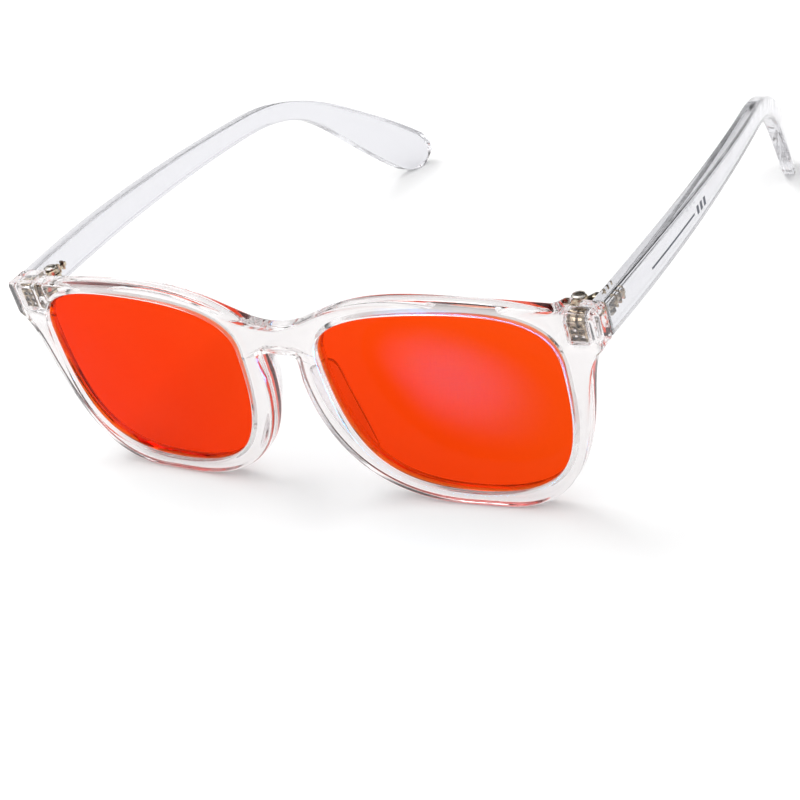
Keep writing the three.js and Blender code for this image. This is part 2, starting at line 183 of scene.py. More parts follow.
def front_half():
    """Rows of points round the section of the wearer's left half, from the bottom of the lens
    groove over the face, round the outer edge and over the back. A row is a set distance in from
    the opening or from the outline, or a share of the way between them. Gives the rows, which
    points lie on the middle plane, and the first and last row of the outer edge."""
    outer, inward, on_plane = front_outline()
    inner, away = matching_opening(outer)
    rows = []

    def row(place, y):
        rows.append(np.stack([place[:, 0], y(place[:, 0], place[:, 1]), place[:, 1]], 1))

    def face(drop):
        return lambda x, z: front_y(x) + drop

    def back(drop):
        return lambda x, z: back_y(x, z) - drop

    turn = np.radians([0, 15, 30, 45, 60, 75, 90])
    small = np.radians([0, 30, 60, 90])
    shares = np.array([0.08, 0.2, 0.32, 0.44, 0.56, 0.68, 0.8, 0.92])[:, None, None]
    near = inner + OPENING_ROUND * away
    row(inner + GROOVE_DEPTH * away, face(GROOVE_MIDDLE))
    row(inner + GROOVE_MOUTH * away, face(GROOVE_FRONT + GROOVE_MOUTH))
    row(inner, face(GROOVE_FRONT))
    for a in small:
        row(inner + OPENING_ROUND * (1 - np.cos(a)) * away,
            face(OPENING_ROUND * (1 - np.sin(a))))
    for place in near * (1 - shares) + (outer + EDGE_ROUND * inward) * shares:
        row(place, face(0))
    first_edge = len(rows)
    for a in turn:
        row(outer + EDGE_ROUND * (1 - np.sin(a)) * inward, face(EDGE_ROUND * (1 - np.cos(a))))
    soft = EDGE_ROUND - END_EDGE_SHARPER * end_share(outer[:, 0], outer[:, 1])
    for share in (1 / 3, 2 / 3):
        row(outer, lambda x, z: ((front_y(x) + EDGE_ROUND) * (1 - share)
                                 + (back_y(x, z) - soft) * share))
    for a in turn[::-1]:
        row(outer + (soft * (1 - np.sin(a)))[:, None] * inward, back(soft * (1 - np.cos(a))))
    last_edge = len(rows) - 1
    for place in (near * (1 - shares) + (outer + soft[:, None] * inward) * shares)[::-1]:
        row(place, back(0))
    for a in small[::-1]:
        row(inner + OPENING_ROUND * (1 - np.cos(a)) * away,
            back(OPENING_ROUND * (1 - np.sin(a))))
    row(inner, face(GROOVE_BACK))
    row(inner + GROOVE_MOUTH * away, face(GROOVE_BACK - GROOVE_MOUTH))
    return np.array(rows), on_plane, first_edge, last_edge


def grid_faces(rows, columns, wrap_rows=True):
    """Four corners of every square of a grid whose columns close on themselves, and its rows too
    if asked."""
    r = np.arange(rows if wrap_rows else rows - 1)
    c = np.arange(columns)
    r, c = np.meshgrid(r, c, indexing="ij")
    r1, c1 = (r + 1) % rows, (c + 1) % columns
    return np.stack([r * columns + c, r * columns + c1, r1 * columns + c1, r1 * columns + c], -1)


def front_points_and_faces():
    """Both halves of the front. On the middle plane the edge's squares are left out, so the two
    halves meet point to point and are welded there."""
    rows, on_plane, first_edge, last_edge = front_half()
    count, columns = rows.shape[:2]
    faces = grid_faces(count, columns)
    open_column = on_plane | np.roll(on_plane, -1)
    rim_row = np.zeros(count, bool)
    rim_row[first_edge:last_edge] = True
    faces = faces[~(rim_row[:, None] & open_column[None, :])]
    left = rows.reshape(-1, 3)
    points = np.vstack([left, left * (-1, 1, 1)])
    return points, np.vstack([faces, faces[:, ::-1] + len(left)])


def welded(points, faces):
    """The same faces with points closer than a hundredth of a millimetre made one, without the
    points that no face uses and the squares that have closed up."""
    used = np.unique(faces)
    key = np.round(points[used] * 100).astype(int)
    _, first, same = np.unique(key, axis=0, return_index=True, return_inverse=True)
    new_number = np.zeros(len(points), int)
    new_number[used] = same.reshape(-1)
    corners = [list(dict.fromkeys(f)) for f in new_number[faces].tolist()]
    return points[used][first], [c for c in corners if len(c) > 2]


def rounded_rectangle(half_u, half_v, radius, steps=6):
    """Closed outline, anticlockwise: a quarter circle of so many steps at each corner of a
    rectangle."""
    turn = np.radians(np.linspace(0, 90, steps + 1))
    corners = [(1, 1, 0), (-1, 1, 90), (-1, -1, 180), (1, -1, 270)]
    return np.vstack([
        np.stack([su * (half_u - radius) + radius * np.cos(turn + math.radians(a)),
                  sv * (half_v - radius) + radius * np.sin(turn + math.radians(a))], 1)
        for su, sv, a in corners
    ])


def fanned(loops):
    """Closed loops of points joined one to the next by squares, the first and last closed by a
    fan."""
    count, size = loops.shape[:2]
    around = np.arange(size)
    after = (around + 1) % size
    points = np.vstack([loops.reshape(-1, 3), loops[0].mean(0), loops[-1].mean(0)])
    start, end = count * size, count * size + 1
    last = (count - 1) * size
    squares = grid_faces(count, size, wrap_rows=False).reshape(-1, 4).tolist()
    fans = [[start, b, a] for a, b in zip(around, after)]
    fans += [[end, last + a, last + b] for a, b in zip(around, after)]
    return points, squares + fans


def prism(outline, low, high, round_, steps=3):
    """An anticlockwise outline in u and v carried from low to high along w, its two ends rounded
    by a quarter circle and closed by a fan on their middle point. Gives points in u, v, w and
    faces."""
    inward = -side_normals(outline)
    turn = np.radians(np.linspace(0, 90, steps + 1))
    inset = round_ * (1 - np.sin(turn))
    level = low + round_ * (1 - np.cos(turn))
    inset = np.concatenate([inset, inset[::-1]])
    level = np.concatenate([level, low + high - level[::-1]])
    loops = outline + inset[:, None, None] * inward
    heights = np.broadcast_to(level[:, None, None], loops.shape[:2] + (1,))
    return fanned(np.concatenate([loops, heights], 2))


def joined(parts):
    """Several (points, faces) pairs as one."""
    points, faces, count = [], [], 0
    for part_points, part_faces in parts:
        points.append(part_points)
        faces += [[int(i) + count for i in f] for f in part_faces]
        count += len(part_points)
    return np.vstack(points), faces


def turned_over(part):
    """The same surface with its faces pointing the other way."""
    return part[0], [list(f)[::-1] for f in part[1]]


def other_side(part):
    """The wearer's right-hand twin of a piece, with its faces still pointing out."""
    return turned_over((part[0] * (-1, 1, 1), part[1]))


def linked_object(name, data):
    """A new object that holds this data, linked to the scene."""
    thing = bpy.data.objects.new(name, data)
    bpy.context.scene.collection.objects.link(thing)
    return thing


def make_piece(name, part, material):
    """A mesh object in the row frame, in metres, smooth but for edges that turn by 35 degrees or
    more."""
    points, faces = part
    mesh = bpy.data.meshes.new(name)
    place = points * METRES + (0, float(FACE_AT), 0)
    mesh.from_pydata(place.tolist(), [], [list(f) for f in faces])
    mesh.shade_smooth()
    mesh.set_sharp_from_angle(angle=math.radians(35))
    mesh.materials.append(material)
    return linked_object(name, mesh)


def linear(hex_code):
    """An sRGB hex colour as linear red, green, blue and alpha."""
    parts = np.array([int(hex_code[i:i + 2], 16) / 255 for i in (1, 3, 5)])
    parts = np.where(parts <= 0.04045, parts / 12.92, ((parts + 0.055) / 1.055) ** 2.4)
    return (*parts.tolist(), 1.0)


def per_metre(spacing):
    """How often a pattern of this spacing in millimetres repeats in a metre."""
    return 1 / (spacing * METRES)


def empty_material(name):
    """A material with no nodes yet, and its node tree."""
    material = bpy.data.materials.new(name)
    material.use_nodes = True
    material.node_tree.nodes.clear()
    return material, material.node_tree


def add_node(tree, kind, values=None, links=None, **settings):
    """Adds one node with its settings, the values on its sockets and the outputs that feed them."""
    node = tree.nodes.new(kind)
    for key, value in settings.items():
        setattr(node, key, value)
    for key, value in (values or {}).items():
        node.inputs[key].default_value = value
    for key, output in (links or {}).items():
        tree.links.new(output, node.inputs[key])
    return node


def clear_nylon(name, tint, smoothest=0.01, dullest=0.05):
    """Injection-moulded transparent nylon, between its smoothest and dullest roughness. The
    mould's flow leaves the surface gently wavy every 7 mm, which breaks up what is seen through
    it, and handling leaves a faint haze in patches of 1.5 mm."""
    material, tree = empty_material(name)
    place = add_node(tree, "ShaderNodeTexCoord").outputs["Object"]
    flow = add_node(tree, "ShaderNodeTexNoise", {"Scale": per_metre(7), "Detail": 2.0},
                    {"Vector": place})
    haze = add_node(tree, "ShaderNodeTexNoise", {"Scale": per_metre(1.5), "Detail": 4.0},
                    {"Vector": place})
    gloss = add_node(tree, "ShaderNodeMapRange", {"To Min": smoothest, "To Max": dullest},
                     {"Value": haze.outputs["Fac"]})
    wave = add_node(tree, "ShaderNodeBump", {"Strength": 1.0, "Distance": 0.06 * METRES},
                    {"Height": flow.outputs["Fac"]})
    shader = add_node(
        tree, "ShaderNodeBsdfPrincipled",
        {"Base Color": linear(tint), "Transmission Weight": 1.0, "IOR": NYLON_IOR},
        {"Roughness": gloss.outputs["Result"], "Normal": wave.outputs["Normal"]},
    )
    add_node(tree, "ShaderNodeOutputMaterial", links={"Surface": shader.outputs["BSDF"]})
    return material


# Where the face of the bridge lies along Y in the row frame, in metres.
FACE_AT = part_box("front_frame")[0].y
frame_plastic = clear_nylon("dip_polished_clear_nylon", PLASTIC_PINK_WHITE)
# The pocket is an empty space in the plastic. Its wall faces into it, as swapping the prism's last
# two axes leaves it, and its twin keeps that.
pocket_points, pocket_faces = prism(
    rounded_rectangle(POCKET_HALF_WIDTH, POCKET_HALF_HEIGHT, POCKET_CORNER),
    POCKET_FRONT, POCKET_BACK, POCKET_ROUND,
)
pocket = (pocket_points[:, [0, 2, 1]] + POCKET_MIDDLE, pocket_faces)
front = joined([welded(*front_points_and_faces()), pocket, other_side(pocket)])
front_piece = make_piece("clear_front", front, frame_plastic)
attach(front_piece, "front")
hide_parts("front_frame")

# ---------------------------------------------------------------- lenses
# Each lens is a 1.8 mm plate of resin dyed deep orange-red right through, ground to the opening's
# outline with a V edge and sprung into the rim's groove. Its anti-reflection coat shines faintly
# pink.

LENS_FACE = 1.1
LENS_THICKNESS = 1.8
LENS_CROWN = 0.5
LENS_CHAMFER = 0.08
LENS_EDGE_REACH = 0.45
LENS_EDGE_FLAT = (0.8, 1.0)
LENS_PALE = "#FFF4EE"
LENS_WARM = "#FFE3D2"
DYE_DENSITY = 2500.0
DYE_PASSES = (0.978, 0.53, 0.05, 1.0)
COAT_PINK = "#8A4A5E"
COATED_IOR = 1.12
# Sockets of a Mix node that mixes colours: its two colours, and its result.
MIX_FIRST, MIX_SECOND, MIX_RESULT = 6, 7, 2


def lens_half(side):
    """A closed shell over the opening's outline, from the middle of the face to its edge, over the
    V and back in to the middle. The face stands forward in the middle by the crown, which falls off
    with the square of the distance from it, and both faces follow the bow of the front."""
    outline = opening(60)[::-1]
    away = side_normals(outline)
    shares = np.array([0.02, 0.12, 0.25, 0.4, 0.55, 0.7, 0.84, 0.94])
    crown = LENS_CROWN * (1 - shares**2)
    v_edge = [
        (0.0, 0.0), (LENS_CHAMFER, LENS_CHAMFER),
        (LENS_EDGE_REACH, LENS_EDGE_FLAT[0]), (LENS_EDGE_REACH, LENS_EDGE_FLAT[1]),
        (LENS_CHAMFER, LENS_THICKNESS - LENS_CHAMFER), (0.0, LENS_THICKNESS),
    ]
    across_face = [LENS_CENTRE + (outline - LENS_CENTRE) * share for share in shares]
    over_edge = [outline + reach * away for reach, _ in v_edge]
    loops = np.array(across_face + over_edge + across_face[::-1])
    depths = np.concatenate([-crown, [depth for _, depth in v_edge], LENS_THICKNESS - crown[::-1]])
    y = LENS_FACE + depths[:, None] + front_y(loops[:, :, 0])
    part = turned_over(fanned(np.stack([loops[:, :, 0], y, loops[:, :, 1]], 2)))
    return part if side == "left" else other_side(part)


def dyed_lens_resin():
    """CR-39 resin dyed in the mass, hard-coated and anti-reflection coated. Over a metre the dye
    takes up its density times one less each colour, so a thicker path is a deeper orange. The tint
    is a little uneven over a couple of centimetres. The coat cuts the reflection to that of a much
    lower IOR and tints it pink, and wiping leaves a haze in patches of 3 mm."""
    material, tree = empty_material("dyed_coated_cr39_resin")
    place = add_node(tree, "ShaderNodeTexCoord").outputs["Object"]
    cloud = add_node(tree, "ShaderNodeTexNoise", {"Scale": per_metre(20), "Detail": 1.0},
                     {"Vector": place})
    dye = add_node(tree, "ShaderNodeMix",
                   {MIX_FIRST: linear(LENS_WARM), MIX_SECOND: linear(LENS_PALE)},
                   {"Factor": cloud.outputs["Fac"]}, data_type="RGBA")
    haze = add_node(tree, "ShaderNodeTexNoise", {"Scale": per_metre(3), "Detail": 3.0},
                    {"Vector": place})
    gloss = add_node(tree, "ShaderNodeMapRange", {"To Min": 0.0, "To Max": 0.03},
                     {"Value": haze.outputs["Fac"]})
    shader = add_node(
        tree, "ShaderNodeBsdfPrincipled",
        {"Transmission Weight": 1.0, "IOR": COATED_IOR, "Specular Tint": linear(COAT_PINK)},
        {"Base Color": dye.outputs[MIX_RESULT], "Roughness": gloss.outputs["Result"]},
    )
    mass = add_node(tree, "ShaderNodeVolumeAbsorption",
                    {"Color": DYE_PASSES, "Density": DYE_DENSITY})
    add_node(tree, "ShaderNodeOutputMaterial",
             links={"Surface": shader.outputs["BSDF"], "Volume": mass.outputs["Volume"]})
    return material


lens_resin = dyed_lens_resin()
for side in ("left", "right"):
    lens = make_piece(f"orange_lens_{side}", lens_half(side), lens_resin)
    # The studio's broad light washes out the colour of the lens's shadow, so the floor's own light
    # misses it.
    lens.visible_diffuse = False
    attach(lens, "front")
    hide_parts(f"lens_{side}")

# ---------------------------------------------------------------- nose pads
# Each pad is a thin D-shaped wing of the same clear plastic, moulded apart and bonded to the back
# of the nasal rim. It stands back towards the face and opens out to lie along the side of the nose.

PAD_THICKNESS = 1.6
PAD_ROUND = 0.7
PAD_SEAT = 4.35
PAD_OPEN_OUT = 0.48
NASAL_EDGE = 4.9
NASAL_EDGE_STRAIGHT_ABOVE = 27
NASAL_EDGE_LEAN = 0.021
PAD_SATIN_WHITE = "#F6F3F5"


def nose_pad(side):
    """The D outline carried through the pad's thickness, then sheared out with its distance back
    and moved out to follow the nasal edge of the rim, which leans out with the square of the
    drop."""
    outline = np.vstack([
        bezier([(0, 28.4), (0, 8.0)], 24),
        bezier([(0, 8.0), (0.1, 7.1), (0.8, 7.4)], 4),
        bezier([(0.8, 7.4), (2.0, 9.2), (3.6, 13), (4.1, 19)], 20),
        bezier([(4.1, 19), (4.5, 25.5), (4.4, 28.8), (0.9, 29)], 20),
        bezier([(0.9, 29), (0.1, 29.1), (0, 28.4)], 4),
    ])
    points, faces = prism(outline, 0, PAD_THICKNESS, PAD_ROUND, steps=5)
    back, z, out = points.T
    drop = np.maximum(0, NASAL_EDGE_STRAIGHT_ABOVE - z)
    edge = NASAL_EDGE + NASAL_EDGE_LEAN * drop**2
    part = np.stack([edge + out + PAD_OPEN_OUT * back, PAD_SEAT + back, z], 1), faces
    return part if side == "left" else other_side(part)


pad_plastic = clear_nylon("satin_moulded_clear_pad_plastic", PAD_SATIN_WHITE, 0.12, 0.22)
for side in ("left", "right"):
    pad = make_piece(f"clear_nose_pad_{side}", nose_pad(side), pad_plastic)
    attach(pad, "front")
    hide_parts(f"nose_pad_{side}")

# ---------------------------------------------------------------- temples
# Each temple is a flat bar moulded in the same clear plastic and polished, with a faint lavender
# cast from its thickness. It narrows towards the ear, bends down and widens into a rounded paddle,
# and the toothed tail of its hinge is embedded in its root.

TEMPLE_LENGTH = 140.0
TEMPLE_TIP = 7.0
TEMPLE_HALF_THICKNESS = 1.7
TEMPLE_EDGE_ROUND = 0.8
TEMPLE_ROOT = (9.4, 39.6)
ROOT_ROUND = 0.4
DROOP_DEGREES = 8.5
EAR_BEND_DEGREES = 38.95
EAR_BEND_FROM, EAR_BEND_TO = 75, 112
ROOT_HALF_HEIGHT = 3.6
NARROWING, NARROWS_OVER = 1.25, (0.05, 0.7)
PADDLE_WIDENING, WIDENS_OVER = 2.7, (0.66, 0.94)
OUTER_SIDE_X = 69.6
SPLAY = 0.06
HEAD_CURVE = 0.0013
EAR_CURVE, EAR_CURVE_FROM = 0.0016, 75
TEMPLE_LAVENDER_WHITE = "#DFDFE3"


def temple_heading(s):
    """Slope of the centre line below the level at a length along it: a steady droop and the ear
    bend."""
    droop = DROOP_DEGREES * s / TEMPLE_LENGTH
    return np.radians(droop + EAR_BEND_DEGREES * smooth_step(s, EAR_BEND_FROM, EAR_BEND_TO))


def temple_half_height(s):
    """Half the temple's height: it narrows, then widens to the paddle."""
    share = s / TEMPLE_LENGTH
    narrowed = ROOT_HALF_HEIGHT - NARROWING * smooth_step(share, *NARROWS_OVER)
    return narrowed + PADDLE_WIDENING * smooth_step(share, *WIDENS_OVER)


def temple_outside(y):
    """Outer side of the temple: it splays a little, then curves in to follow the head."""
    run = np.maximum(0, y - JOINT_Y)
    past_ear = np.maximum(0, run - EAR_CURVE_FROM)
    return OUTER_SIDE_X + SPLAY * run - HEAD_CURVE * run**2 - EAR_CURVE * past_ear**2


def temple(side):
    """A rounded rectangle carried along the centre line, whose points are the running sum of its
    slope's cosine and sine. The root is closed flat with a small round, and over the tip's length
    the height shrinks as an ellipse does while the thickness rounds off near the very end."""
    body = TEMPLE_LENGTH - TEMPLE_TIP
    fine = np.linspace(0, body, 2661)
    slope = temple_heading((fine[1:] + fine[:-1]) / 2)
    step = fine[1] - fine[0]
    along_y = np.concatenate([[0], np.cumsum(np.cos(slope) * step)])
    along_z = np.concatenate([[0], -np.cumsum(np.sin(slope) * step)])
    root = ROOT_ROUND * (1 - np.cos(np.radians([0, 30, 60, 90])))
    tip_turn = np.radians(np.linspace(0, 90, 25)[1:-1])
    s = np.concatenate([root, np.linspace(3 * ROOT_ROUND, body, 130),
                        body + TEMPLE_TIP * np.sin(tip_turn)])
    inside = np.minimum(s, body)
    end = temple_heading(body)
    y = TEMPLE_ROOT[0] + np.interp(inside, fine, along_y) + (s - inside) * np.cos(end)
    z = TEMPLE_ROOT[1] + np.interp(inside, fine, along_z) - (s - inside) * np.sin(end)
    angle = np.where(s > body, end, temple_heading(inside))
    over = np.clip((s - body) / TEMPLE_TIP, 0, 1)
    short_of_root = 1 - np.minimum(s, ROOT_ROUND) / ROOT_ROUND
    inset = ROOT_ROUND * (1 - np.sqrt(np.clip(1 - short_of_root**2, 0, 1)))
    half_height = temple_half_height(inside) * np.sqrt(1 - over**2) - inset
    half_thick = TEMPLE_HALF_THICKNESS * (1 - over**10) ** 0.5 - inset
    corner = np.minimum(TEMPLE_EDGE_ROUND - inset, 0.96 * np.minimum(half_height, half_thick))
    square = rounded_rectangle(1.0, 1.0, 0.0, steps=7)
    circle = rounded_rectangle(1.0, 1.0, 1.0, steps=7)
    across = (half_thick - corner)[:, None] * square[:, 0] + corner[:, None] * circle[:, 0]
    up = (half_height - corner)[:, None] * square[:, 1] + corner[:, None] * circle[:, 1]
    py = y[:, None] + up * np.sin(angle)[:, None]
    pz = z[:, None] + up * np.cos(angle)[:, None]
    px = temple_outside(py) - TEMPLE_HALF_THICKNESS + across
    part = turned_over(fanned(np.stack([px, py, pz], 2)))
    return part if side == "left" else other_side(part)


temple_plastic = clear_nylon("polished_clear_temple_plastic", TEMPLE_LAVENDER_WHITE)
for side in ("left", "right"):
    arm = make_piece(f"clear_temple_{side}", temple(side), temple_plastic)
    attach(arm, f"{side}_temple")
    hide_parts(f"temple_{side}")

# ---------------------------------------------------------------- printed accent
# The left temple carries a plain pad-printed accent near its root: a long fine grey line that ends
# in three short bars. The ink is a thin matt film on the polished outer side.

INK_GREY = "#5A5F6B"
INK_DARK_GREY = "#4C515C"
INK_FILM = 0.03
INK_CORNER = 0.2
LINE_FROM, LINE_TO, LINE_HALF_HEIGHT = 17.0, 38.0, 0.22
BARS_FROM = (39.2, 41.0, 42.8)
BAR_WIDTH, BAR_HALF_HEIGHT = 1.0, 0.9


def ink_outlines():
    """The line, a strip with enough points to follow the temple's curve, and the three bars, each a
    rounded rectangle. They are in millimetres along the temple and up from its centre line."""
    run = np.linspace(LINE_FROM + INK_CORNER, LINE_TO - INK_CORNER, 40)
    level = np.full(len(run), LINE_HALF_HEIGHT)
    line = np.vstack([np.stack([run, -level], 1), np.stack([run[::-1], level], 1)])
    bar = rounded_rectangle(BAR_WIDTH / 2, BAR_HALF_HEIGHT, INK_CORNER, 3)
    return [line] + [bar + (start + BAR_WIDTH / 2, 0) for start in BARS_FROM]


def ink_bars():
    """Thin slabs laid along the temple: each outline is carried from the temple's outer side to the
    film's thickness above it, and let down with the centre line, whose drop grows with the square
    of the length along it."""
    parts = []
    for outline in ink_outlines():
        points, faces = prism(outline, 0.0, INK_FILM, 0.005, 1)
        s, up, out = points.T
        drop = math.radians(DROOP_DEGREES) * s**2 / (2 * TEMPLE_LENGTH)
        y = TEMPLE_ROOT[0] + s
        parts.append((np.stack([temple_outside(y) + out, y, TEMPLE_ROOT[1] - drop + up], 1),
                      faces))
    return joined(parts)


def printed_ink():
    """Pad-printed grey ink: a matt film whose density varies over a fifth of a millimetre."""
    material, tree = empty_material("pad_printed_grey_ink")
    place = add_node(tree, "ShaderNodeTexCoord").outputs["Object"]
    speck = add_node(tree, "ShaderNodeTexNoise", {"Scale": per_metre(0.2), "Detail": 2.0},
                     {"Vector": place})
    tone = add_node(tree, "ShaderNodeMix",
                    {MIX_FIRST: linear(INK_DARK_GREY), MIX_SECOND: linear(INK_GREY)},
                    {"Factor": speck.outputs["Fac"]}, data_type="RGBA")
    gloss = add_node(tree, "ShaderNodeMapRange", {"To Min": 0.4, "To Max": 0.6},
                     {"Value": speck.outputs["Fac"]})
    shader = add_node(tree, "ShaderNodeBsdfPrincipled", {"IOR": 1.5},
                      {"Base Color": tone.outputs[MIX_RESULT],
                       "Roughness": gloss.outputs["Result"]})
    add_node(tree, "ShaderNodeOutputMaterial", links={"Surface": shader.outputs["BSDF"]})
    return material


accent = make_piece("printed_accent_left", ink_bars(), printed_ink())
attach(accent, "left_temple")

# ---------------------------------------------------------------- hinges
# Each hinge is a five-knuckle barrel of stamped nickel silver. Its front leaf ends in a windowed
# plate in the end piece's pocket, its temple leaf in a toothed tail embedded in the temple.

HINGE_AXIS = (63.2, 11.3)
KNUCKLE_RADIUS = 1.6
BORE_RADIUS = 0.8
KNUCKLE_BEVEL = 0.15
KNUCKLE_HEIGHT = 1.1
KNUCKLE_PITCH = 1.3
STACK_BOTTOM = 36.45
# The plate's bars: how far each one reaches across or up, and what all those of a kind share.
UPRIGHT_BARS = ((63.2, 63.6), (64.75, 65.1), (66.2, 66.6))
UPRIGHT_FRONT, UPRIGHT_BACK, UPRIGHT_BOTTOM, UPRIGHT_TOP = 5.9, 6.9, 37.3, 41.3
LEVEL_BARS = ((37.3, 37.65), (38.6, 38.95), (39.9, 40.25))
LEVEL_FRONT, LEVEL_BACK, LEVEL_INNER, LEVEL_OUTER = 6.0, 6.8, 63.3, 66.5
BAR_ROUNDS = (0.15, 0.12)
# Single blocks: two opposite corners, then the rounding of the upright edges and of the ends.
PLATE_HEAD = ((63.2, 5.8, 41.0), (66.6, 7.3, 42.0), 0.4, 0.3)
PLATE_NECK = ((62.7, 7.0, 39.4), (63.7, 9.5, 41.6), 0.3, 0.2)
TAIL_FOOT = ((64.5, 13.3, 38.0), (65.9, 15.0, 41.6), 0.3, 0.2)
TAIL_BAR = ((65.8, 13.8, 39.3), (66.5, 18.6, 40.2), 0.2, 0.15)
# The lug behind each of the front leaf's knuckles, the tail's teeth and its web seen from above.
LUG_LOW, LUG_HIGH = (62.4, 9.3), (64.0, 10.6)
TOOTH_FROM, TOOTH_PITCH, TOOTH_WIDTH = 14.6, 1.4, 0.5
TOOTH_INNER, TOOTH_OUTER, TOOTH_BOTTOM, TOOTH_TOP = 65.7, 66.7, 38.7, 40.8
TOOTH_ROUNDS = (0.2, 0.15)
TAIL_WEB = ((63.2, 10.1), (65.9, 13.3), (65.9, 14.9), (64.5, 14.9), (62.0, 11.3))
WEB_ROUND = 0.05
NICKEL_SILVER = "#DCCDB4"
NICKEL_SHADOW = "#54453A"


def knuckle(low):
    """A ring: a small section with bevelled edges turned round the hinge axis."""
    high = low + KNUCKLE_HEIGHT
    bevel = KNUCKLE_BEVEL
    section = np.array([
        (BORE_RADIUS, low + bevel), (BORE_RADIUS, high - bevel),
        (BORE_RADIUS + bevel, high), (KNUCKLE_RADIUS - bevel, high),
        (KNUCKLE_RADIUS, high - bevel), (KNUCKLE_RADIUS, low + bevel),
        (KNUCKLE_RADIUS - bevel, low), (BORE_RADIUS + bevel, low),
    ])
    turn = np.radians(np.arange(0, 360, 9))
    radius, z = section.T
    loops = np.stack([
        HINGE_AXIS[0] + radius[:, None] * np.cos(turn),
        HINGE_AXIS[1] + radius[:, None] * np.sin(turn),
        np.broadcast_to(z[:, None], (len(z), len(turn))),
    ], 2)
    faces = grid_faces(len(section), len(turn)).reshape(-1, 4).tolist()
    return turned_over((loops.reshape(-1, 3), faces))


def stamped_block(low, high, corner=0.15, round_=0.08):
    """A block between two corners, its upright edges and its two ends rounded off by the
    stamping."""
    low, high = np.array(low, float), np.array(high, float)
    half, middle = (high - low) / 2, (high + low) / 2
    outline = rounded_rectangle(half[0], half[1], corner, 3)
    points, faces = prism(outline, low[2], high[2], round_, 2)
    return points + (middle[0], middle[1], 0), faces


def front_leaf(side):
    """Upright and level bars that leave four windows under a thicker head, a neck and three
    knuckles, each on its own lug."""
    parts = [stamped_block((inner, UPRIGHT_FRONT, UPRIGHT_BOTTOM),
                           (outer, UPRIGHT_BACK, UPRIGHT_TOP), *BAR_ROUNDS)
             for inner, outer in UPRIGHT_BARS]
    parts += [stamped_block((LEVEL_INNER, LEVEL_FRONT, bottom),
                            (LEVEL_OUTER, LEVEL_BACK, top), *BAR_ROUNDS)
              for bottom, top in LEVEL_BARS]
    parts += [stamped_block(*PLATE_HEAD), stamped_block(*PLATE_NECK)]
    for index in (0, 2, 4):
        low = STACK_BOTTOM + index * KNUCKLE_PITCH
        parts.append(stamped_block((*LUG_LOW, low), (*LUG_HIGH, low + KNUCKLE_HEIGHT)))
        parts.append(knuckle(low))
    part = joined(parts)
    return part if side == "left" else other_side(part)


def temple_leaf(side):
    """Two knuckles on slanting webs, a short foot on the temple's inner face and the toothed
    tail."""
    parts = [stamped_block(*TAIL_FOOT), stamped_block(*TAIL_BAR)]
    for tooth in range(3):
        y = TOOTH_FROM + tooth * TOOTH_PITCH
        parts.append(stamped_block((TOOTH_INNER, y, TOOTH_BOTTOM),
                                   (TOOTH_OUTER, y + TOOTH_WIDTH, TOOTH_TOP), *TOOTH_ROUNDS))
    for index in (1, 3):
        low = STACK_BOTTOM + index * KNUCKLE_PITCH
        parts.append(prism(np.array(TAIL_WEB), low, low + KNUCKLE_HEIGHT, WEB_ROUND, 1))
        parts.append(knuckle(low))
    part = joined(parts)
    return part if side == "left" else other_side(part)


def stamped_nickel_silver():
    """Nickel silver as stamped and barrel-finished: satin, with fine drawing lines 0.12 mm apart
    along the strip, and dark brown painted shade in random patches a millimetre or so across,
    standing in for the shading of the stamped relief."""
    material, tree = empty_material("stamped_nickel_silver")
    place = add_node(tree, "ShaderNodeTexCoord").outputs["Object"]
    patch = add_node(tree, "ShaderNodeTexNoise", {"Scale": per_metre(1.2), "Detail": 3.0},
                     {"Vector": place})
    # The dark brown patches are painted shade, laid at random where the stamped relief would shade
    # the metal.
    painted_shade = add_node(tree, "ShaderNodeMapRange", {"From Min": 0.38, "From Max": 0.6},
                    {"Value": patch.outputs["Fac"]})
    tone = add_node(tree, "ShaderNodeMix",
                    {MIX_FIRST: linear(NICKEL_SHADOW), MIX_SECOND: linear(NICKEL_SILVER)},
                    {"Factor": painted_shade.outputs["Result"]}, data_type="RGBA")
    stretch = add_node(tree, "ShaderNodeMapping",
                       {"Scale": (per_metre(2), per_metre(2), per_metre(0.12))},
                       {"Vector": place})
    lines = add_node(tree, "ShaderNodeTexNoise", {"Scale": 1.0, "Detail": 2.0},
                     {"Vector": stretch.outputs["Vector"]})
    gloss = add_node(tree, "ShaderNodeMapRange", {"To Min": 0.15, "To Max": 0.35},
                     {"Value": lines.outputs["Fac"]})
    groove = add_node(tree, "ShaderNodeBump", {"Strength": 0.5, "Distance": 0.02 * METRES},
                      {"Height": lines.outputs["Fac"]})
    shader = add_node(
        tree, "ShaderNodeBsdfPrincipled", {"Metallic": 1.0},
        {"Base Color": tone.outputs[MIX_RESULT], "Roughness": gloss.outputs["Result"],
         "Normal": groove.outputs["Normal"]},
    )
    add_node(tree, "ShaderNodeOutputMaterial", links={"Surface": shader.outputs["BSDF"]})
    return material


nickel_silver = stamped_nickel_silver()
for side in ("left", "right"):
    leaf = make_piece(f"hinge_plate_{side}", front_leaf(side), nickel_silver)
    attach(leaf, "front")
    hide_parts(f"hinge_front_{side}")
    tail = make_piece(f"hinge_tail_{side}", temple_leaf(side), nickel_silver)
    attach(tail, f"{side}_temple")
    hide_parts(f"hinge_temple_{side}")

# ---------------------------------------------------------------- hinge screws
# A slotted steel screw goes down through all five knuckles. It is turned from bar, which leaves a
# fine grain of tool marks, and the slot is milled across its domed head.

